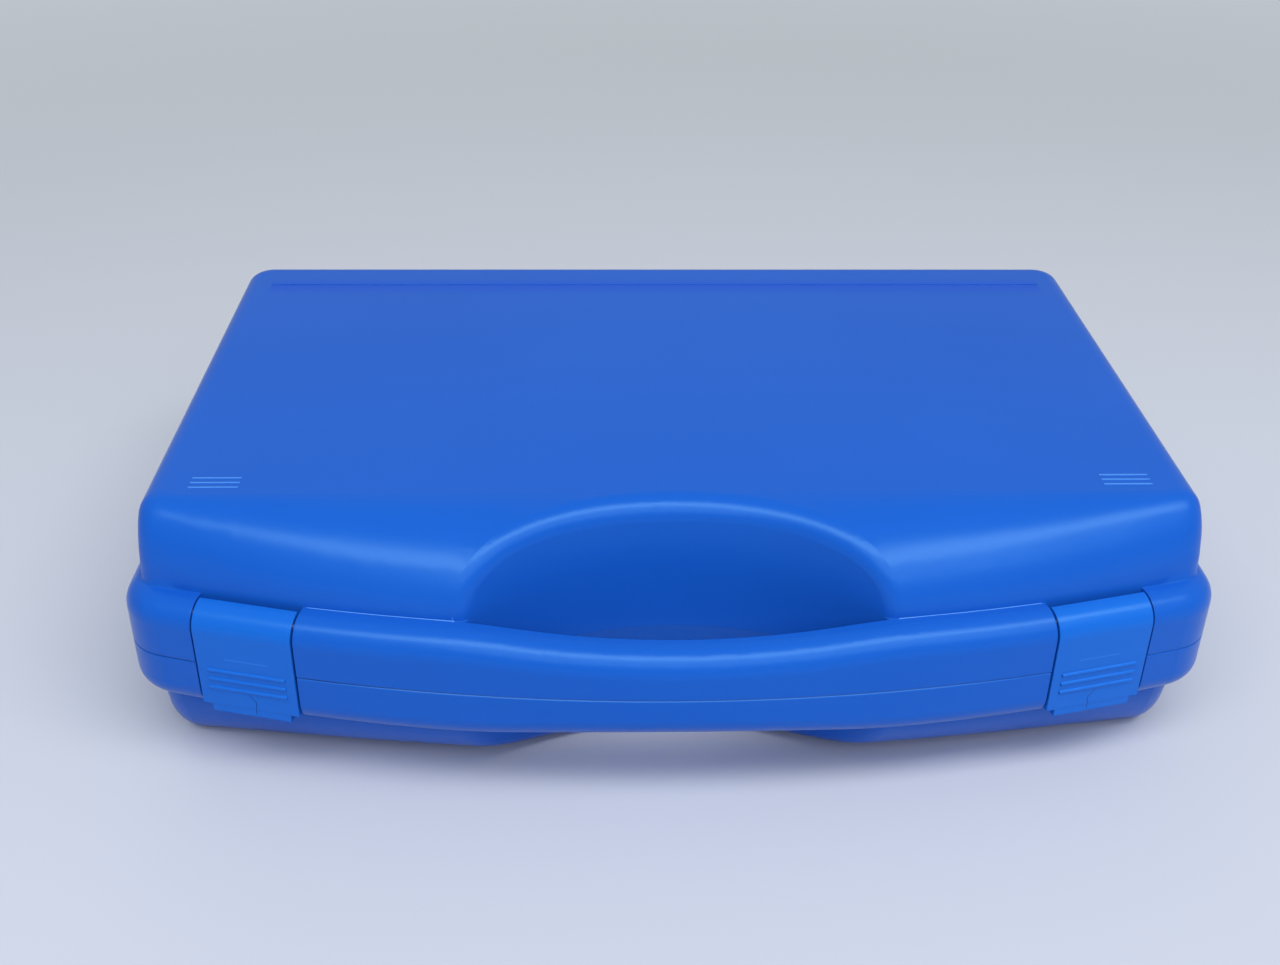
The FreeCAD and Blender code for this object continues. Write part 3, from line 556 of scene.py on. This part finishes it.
def make_steel():
    material, tree, shader = new_material("drawn_steel", STEEL_GREY, STEEL_ROUGHNESS[0])
    shader.inputs["Metallic"].default_value = 1.0
    place = add_node(tree, "ShaderNodeTexCoord", (-1100, 0))
    along = add_node(tree, "ShaderNodeMapping", (-900, 0))
    along.inputs["Scale"].default_value = DRAWN_LINES
    lines = add_node(tree, "ShaderNodeTexNoise", (-700, 0))
    lines.inputs["Scale"].default_value = 1.0
    lines.inputs["Detail"].default_value = 2.0
    rough = add_node(tree, "ShaderNodeMapRange", (-400, 0))
    rough.inputs["To Min"].default_value, rough.inputs["To Max"].default_value = STEEL_ROUGHNESS
    relief = add_node(tree, "ShaderNodeBump", (-400, -250))
    relief.inputs["Strength"].default_value = 0.2
    relief.inputs["Distance"].default_value = LINE_DEPTH
    tree.links.new(place.outputs["Object"], along.inputs["Vector"])
    tree.links.new(along.outputs["Vector"], lines.inputs["Vector"])
    tree.links.new(lines.outputs["Fac"], rough.inputs["Value"])
    tree.links.new(rough.outputs["Result"], shader.inputs["Roughness"])
    tree.links.new(lines.outputs["Fac"], relief.inputs["Height"])
    tree.links.new(relief.outputs["Normal"], shader.inputs["Normal"])
    return material


steel = make_steel()
print("steel:", steel.name)

# %% [markdown]
# ## Foam
#
# Case foam is open-celled polyurethane: cells of about a millimetre, open at the cut
# face, so light is lost in them. Voronoi cells give the pores, a finer noise the fuzz
# between them. Roughness is high and there is hardly any reflection.

# %% Foam material
FOAM_GREY = from_srgb(78, 80, 84)
PORE_GREY = from_srgb(34, 35, 38)
CELLS_PER_METRE = 850.0
FUZZ_PER_METRE = 240.0
PORE_DEPTH = 0.6 * MM
FOAM_ROUGHNESS = 0.95
FOAM_SHINE = 0.15


def make_foam():
    material, tree, shader = new_material("grey_foam", FOAM_GREY, FOAM_ROUGHNESS)
    shader.inputs["Specular IOR Level"].default_value = FOAM_SHINE
    shader.inputs["Sheen Weight"].default_value = FOAM_SHINE
    place = add_node(tree, "ShaderNodeTexCoord", (-1100, 0))
    cells = add_node(tree, "ShaderNodeTexVoronoi", (-850, 100))
    cells.inputs["Scale"].default_value = CELLS_PER_METRE
    fuzz = add_node(tree, "ShaderNodeTexNoise", (-850, -200))
    fuzz.inputs["Scale"].default_value = FUZZ_PER_METRE
    fuzz.inputs["Detail"].default_value = 5.0
    colours = add_node(tree, "ShaderNodeMix", (-450, 200), data_type="RGBA")
    colours.inputs["A"].default_value = (*PORE_GREY, 1.0)
    colours.inputs["B"].default_value = (*FOAM_GREY, 1.0)
    both = add_node(tree, "ShaderNodeMath", (-640, -50), operation="MULTIPLY")
    height = add_node(tree, "ShaderNodeMath", (-450, -50), operation="ADD")
    relief = add_node(tree, "ShaderNodeBump", (-250, -250))
    relief.inputs["Strength"].default_value = 0.7
    relief.inputs["Distance"].default_value = PORE_DEPTH
    tree.links.new(place.outputs["Object"], cells.inputs["Vector"])
    tree.links.new(place.outputs["Object"], fuzz.inputs["Vector"])
    tree.links.new(cells.outputs["Distance"], both.inputs[0])
    tree.links.new(fuzz.outputs["Fac"], both.inputs[1])
    tree.links.new(both.outputs["Value"], height.inputs[0])
    tree.links.new(fuzz.outputs["Fac"], height.inputs[1])
    tree.links.new(height.outputs["Value"], colours.inputs["Factor"])
    tree.links.new(height.outputs["Value"], relief.inputs["Height"])
    tree.links.new(colours.outputs["Result"], shader.inputs["Base Color"])
    tree.links.new(relief.outputs["Normal"], shader.inputs["Normal"])
    return material


foam_grey = make_foam()
print("foam:", foam_grey.name)

# %% [markdown]
# ## Shells, latches and pins
#
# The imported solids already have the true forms, with smooth normals on their curved
# faces. They stay as they are, and each one only gets its material in its slots.

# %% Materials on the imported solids
def dress(node, material):
    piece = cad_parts[node]
    for place in piece.material_slots:
        place.material = material
    print(node, "faces", len(piece.data.polygons), "slots", len(piece.material_slots))


dress("base_shell", base_plastic)
dress("lid_shell", lid_plastic)
for node in ("latch_left", "latch_right"):
    dress(node, latch_plastic)
for node in ("hinge_pin_left", "hinge_pin_right", "latch_pin_left", "latch_pin_right"):
    dress(node, steel)

# %% [markdown]
# ## New pieces
#
# A new piece starts as a bmesh. It turns into an object at the origin that rides on one
# of the bodies and gets one material.

# %% Turning a bmesh into a piece
SHARP_ANGLE = math.radians(24)


def finish_piece(bm, name, body, material):
    """Turns a bmesh into a piece that rides on a body."""
    mesh = bpy.data.meshes.new(name)
    bm.to_mesh(mesh)
    bm.free()
    mesh.polygons.foreach_set("use_smooth", [True] * len(mesh.polygons))
    mesh.set_sharp_from_angle(angle=SHARP_ANGLE)
    piece = bpy.data.objects.new(name, mesh)
    bpy.context.scene.collection.objects.link(piece)
    mesh.materials.append(material)
    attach(piece, body)
    return piece


# %% [markdown]
# ## Foam in the lid
#
# The lid holds egg-crate foam: rows of soft peaks that press on whatever lies in the
# case. The peaks are smooth waves in both directions. A flat grid is the start. Its
# corners are cut off round by a few planes each, two waves move its points, and the sheet
# is then drawn up to the flat back.

# %% Lid foam
FOAM_CORNER = 14 * MM
WAVE_PITCH = 27 * MM
WAVE_HEIGHT = 15 * MM
WAVE_POINTS = (120, 64)
CORNER_CUTS = 5
SAME_POINT = 0.001 * MM


def foam_sheet(low, high, points_x, points_y):
    """A flat grid over the foam's outline, at its lower face."""
    bm = bmesh.new()
    bmesh.ops.create_grid(bm, x_segments=points_x, y_segments=points_y, size=0.5)
    bmesh.ops.scale(bm, verts=bm.verts, vec=(high.x - low.x, high.y - low.y, 1.0))
    middle = (low + high) / 2
    bmesh.ops.translate(bm, verts=bm.verts, vec=(middle.x, middle.y, low.z))
    return bm


def cut(bm, spot, across, clear=False):
    """Cuts all faces along a plane, and can clear away what lies beyond it."""
    bmesh.ops.bisect_plane(
        bm, geom=bm.verts[:] + bm.edges[:] + bm.faces[:], plane_co=spot, plane_no=across,
        clear_outer=clear, dist=SAME_POINT)


def round_corners(bm, low, high, radius):
    """Cuts each corner of a flat sheet off along a few tangents of its corner circle."""
    for side_x in (-1, 1):
        for side_y in (-1, 1):
            centre = Vector((
                (high.x - radius) if side_x > 0 else (low.x + radius),
                (high.y - radius) if side_y > 0 else (low.y + radius),
                low.z))
            for step in range(CORNER_CUTS):
                angle = math.radians(90) * (step + 0.5) / CORNER_CUTS
                outwards = Vector((side_x * math.cos(angle), side_y * math.sin(angle), 0))
                cut(bm, centre + outwards * radius, outwards, clear=True)


def draw_to_flat(bm, level):
    """Draws the sheet out to a flat back at that height, and closes it."""
    grown = bmesh.ops.extrude_face_region(bm, geom=bm.faces[:])["geom"]
    for vert in (v for v in grown if isinstance(v, bmesh.types.BMVert)):
        vert.co.z = level
    bmesh.ops.recalc_face_normals(bm, faces=bm.faces)


def finish_foam(bm, node, name, body):
    """Turns a closed foam mesh into the piece that stands for the plain block."""
    print(name, "faces", len(bm.faces), "open edges", sum(1 for e in bm.edges if e.is_boundary))
    piece = finish_piece(bm, name, body, foam_grey)
    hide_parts(node)


def egg_crate(node, name):
    low, high = (Vector(corner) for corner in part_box(node))
    bm = foam_sheet(low, high, *WAVE_POINTS)
    round_corners(bm, low, high, FOAM_CORNER)
    middle = (low + high) / 2
    turns = 2 * math.pi / WAVE_PITCH
    for vert in bm.verts:
        wave = math.cos((vert.co.x - middle.x) * turns) * math.cos((vert.co.y - middle.y) * turns)
        vert.co.z = low.z + WAVE_HEIGHT / 2 * (1 + wave)
    draw_to_flat(bm, high.z)
    finish_foam(bm, node, name, "lid")


egg_crate("lid_foam", "lid_egg_crate_foam")

# %% [markdown]
# ## Foam in the base
#
# The base has a flat sheet, scored into small cubes so that owners can pluck out the
# shape of their tools. The scores are cut with a thin blade. Three close lines across the
# sheet stand for each score, and the middle one is drawn down a little: that narrow
# valley shows the cut without hundreds of blocks.

# %% Base foam
SCORE_PITCH = 15 * MM
SCORE_DEPTH = 1.6 * MM
SCORE_HALF = 0.5 * MM


def score_lines(bm, low, high):
    """Cuts three close lines per score across the sheet, both ways."""
    for axis in (0, 1):
        middle = (low[axis] + high[axis]) / 2
        count = int((high[axis] - low[axis]) / 2 / SCORE_PITCH)
        for step in range(-count, count + 1):
            for shift in (-SCORE_HALF, 0, SCORE_HALF):
                spot = Vector((0, 0, 0))
                spot[axis] = middle + step * SCORE_PITCH + shift
                across = Vector((0, 0, 0))
                across[axis] = 1
                cut(bm, spot, across)


def on_score(place, low, high):
    """Whether a point lies on the middle line of a score."""
    for axis in (0, 1):
        middle = (low[axis] + high[axis]) / 2
        steps = (place[axis] - middle) / SCORE_PITCH
        if abs(steps - round(steps)) * SCORE_PITCH < SCORE_HALF / 2:
            return True
    return False


def scored_foam(node, name):
    low, high = (Vector(corner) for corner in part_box(node))
    bm = foam_sheet(low, high, 1, 1)
    round_corners(bm, low, high, FOAM_CORNER)
    score_lines(bm, low, high)
    for vert in bm.verts:
        vert.co.z = high.z - (SCORE_DEPTH if on_score(vert.co, low, high) else 0)
    draw_to_flat(bm, low.z)
    finish_foam(bm, node, name, "base")


scored_foam("base_foam", "base_scored_foam")

# %% [markdown]
# ## Floor and light
#
# The case lies on a pale table. One wide disc is the floor: near the case it is a real
# surface that takes its light and shadow from the lamps, and far from it the disc turns
# into an even pale tone that the camera alone sees, the same as that of the world. So
# there is no horizon in any view, and no stray light on the case. The disc lies a hair
# below the case's foot, because two faces at one height flicker.

# %% Floor
FLOOR_RADIUS = 12.0
FLOOR_SIDES = 96
FLOOR_DROP = 0.1 * MM
BACKGROUND = from_srgb(190, 196, 204)
TABLE_NEAR = from_srgb(187, 193, 209)
TABLE_FAR = from_srgb(193, 196, 200)
TABLE_BLEND = (-0.3, 1.2)
TABLE_ROUGHNESS = 0.55
TABLE_SHINE = 0.2
FADE_START = 0.5
FADE_END = 1.25


def make_floor():
    bm = bmesh.new()
    bmesh.ops.create_circle(bm, cap_ends=True, segments=FLOOR_SIDES, radius=FLOOR_RADIUS)
    bmesh.ops.translate(bm, verts=bm.verts, vec=(0, 0, -FLOOR_DROP))
    bmesh.ops.recalc_face_normals(bm, faces=bm.faces)
    if next(iter(bm.faces)).normal.z < 0:
        bmesh.ops.reverse_faces(bm, faces=bm.faces)
    mesh = bpy.data.meshes.new("floor")
    bm.to_mesh(mesh)
    bm.free()
    floor = bpy.data.objects.new("floor", mesh)
    bpy.context.scene.collection.objects.link(floor)
    return floor


def make_floor_material():
    material, tree, shader = new_material("pale_table", TABLE_NEAR, TABLE_ROUGHNESS)
    shader.inputs["Specular IOR Level"].default_value = TABLE_SHINE
    place = add_node(tree, "ShaderNodeTexCoord", (-1000, 0))
    parts = add_node(tree, "ShaderNodeSeparateXYZ", (-800, 0))
    back = add_node(tree, "ShaderNodeMapRange", (-600, 0), interpolation_type="SMOOTHSTEP")
    back.inputs["From Min"].default_value, back.inputs["From Max"].default_value = TABLE_BLEND
    colours = add_node(tree, "ShaderNodeMix", (-350, 100), data_type="RGBA")
    colours.inputs["A"].default_value = (*TABLE_NEAR, 1.0)
    colours.inputs["B"].default_value = (*TABLE_FAR, 1.0)
    tree.links.new(place.outputs["Object"], parts.inputs["Vector"])
    tree.links.new(parts.outputs["Y"], back.inputs["Value"])
    tree.links.new(back.outputs["Result"], colours.inputs["Factor"])
    tree.links.new(colours.outputs["Result"], shader.inputs["Base Color"])

    away = add_node(tree, "ShaderNodeVectorMath", (-800, -300), operation="LENGTH")
    fade = add_node(tree, "ShaderNodeMapRange", (-600, -300), interpolation_type="SMOOTHSTEP")
    fade.inputs["From Min"].default_value = FADE_START
    fade.inputs["From Max"].default_value = FADE_END
    path = add_node(tree, "ShaderNodeLightPath", (-600, -600))
    amount = add_node(tree, "ShaderNodeMath", (-350, -400), operation="MULTIPLY")
    seen = add_node(tree, "ShaderNodeEmission", (0, -300))
    seen.inputs["Color"].default_value = (*BACKGROUND, 1.0)
    mix = add_node(tree, "ShaderNodeMixShader", (250, 0))
    tree.links.new(place.outputs["Object"], away.inputs[0])
    tree.links.new(away.outputs["Value"], fade.inputs["Value"])
    tree.links.new(fade.outputs["Result"], amount.inputs[0])
    tree.links.new(path.outputs["Is Camera Ray"], amount.inputs[1])
    tree.links.new(amount.outputs["Value"], mix.inputs["Fac"])
    tree.links.new(shader.outputs["BSDF"], mix.inputs[1])
    tree.links.new(seen.outputs["Emission"], mix.inputs[2])
    tree.links.new(mix.outputs["Shader"], tree.nodes["Material Output"].inputs["Surface"])
    return material


floor = make_floor()
floor.data.materials.append(make_floor_material())
print("floor faces", len(floor.data.polygons))

# %% [markdown]
# A long lamp over the front edge makes the soft highlight along the shoulder and the
# handle. A second, much deeper one further out lights the front, and its wide face keeps
# the shadow under the handle soft. A weak one behind only lifts the dark rear, so it
# leaves no reflection.

# %% Lamps
WARM, COOL = (1.0, 0.97, 0.87), (0.95, 0.97, 1.0)
LAMP_AIM = Vector((0, 0, 0.05))


def area_lamp(name, place, width, depth, watts, colour):
    data = bpy.data.lights.new(name, "AREA")
    data.shape = "RECTANGLE"
    data.size = width
    data.size_y = depth
    data.energy = watts
    data.color = colour
    lamp = bpy.data.objects.new(name, data)
    lamp.location = place
    direction = LAMP_AIM - Vector(place)
    lamp.rotation_euler = direction.to_track_quat("-Z", "Y").to_euler()
    bpy.context.scene.collection.objects.link(lamp)
    return lamp


area_lamp("overhead", (0.15, -0.72, 1.5), 2.4, 0.5, 23, WARM)
area_lamp("front_soft", (0.3, -1.4, 1.5), 2.2, 1.5, 22, COOL)
rear_fill = area_lamp("rear_fill", (-0.6, 1.8, 1.1), 2.0, 1.0, 7, COOL)
rear_fill.visible_glossy = False

# %% [markdown]
# The world's light is even and pale. Only the camera sees the background's tone in it.

# %% World
WORLD_STRENGTH = 0.4
WORLD_COLOUR = (0.87, 0.93, 1.0)


def make_world():
    """An even pale world with the background's tone for the camera."""
    world = bpy.data.worlds.new("studio")
    world.use_nodes = True
    tree = world.node_tree
    light = tree.nodes["Background"]
    light.inputs["Color"].default_value = (*WORLD_COLOUR, 1.0)
    light.inputs["Strength"].default_value = WORLD_STRENGTH
    seen = add_node(tree, "ShaderNodeBackground", (-200, -200))
    seen.inputs["Color"].default_value = (*BACKGROUND, 1.0)
    path = add_node(tree, "ShaderNodeLightPath", (-450, 200))
    mix = add_node(tree, "ShaderNodeMixShader", (100, 0))
    tree.links.new(path.outputs["Is Camera Ray"], mix.inputs["Fac"])
    tree.links.new(light.outputs["Background"], mix.inputs[1])
    tree.links.new(seen.outputs["Background"], mix.inputs[2])
    tree.links.new(mix.outputs["Shader"], tree.nodes["World Output"].inputs["Surface"])
    bpy.context.scene.world = world


make_world()
bpy.context.scene.view_settings.view_transform = "Standard"
print("world:", bpy.context.scene.world.name)
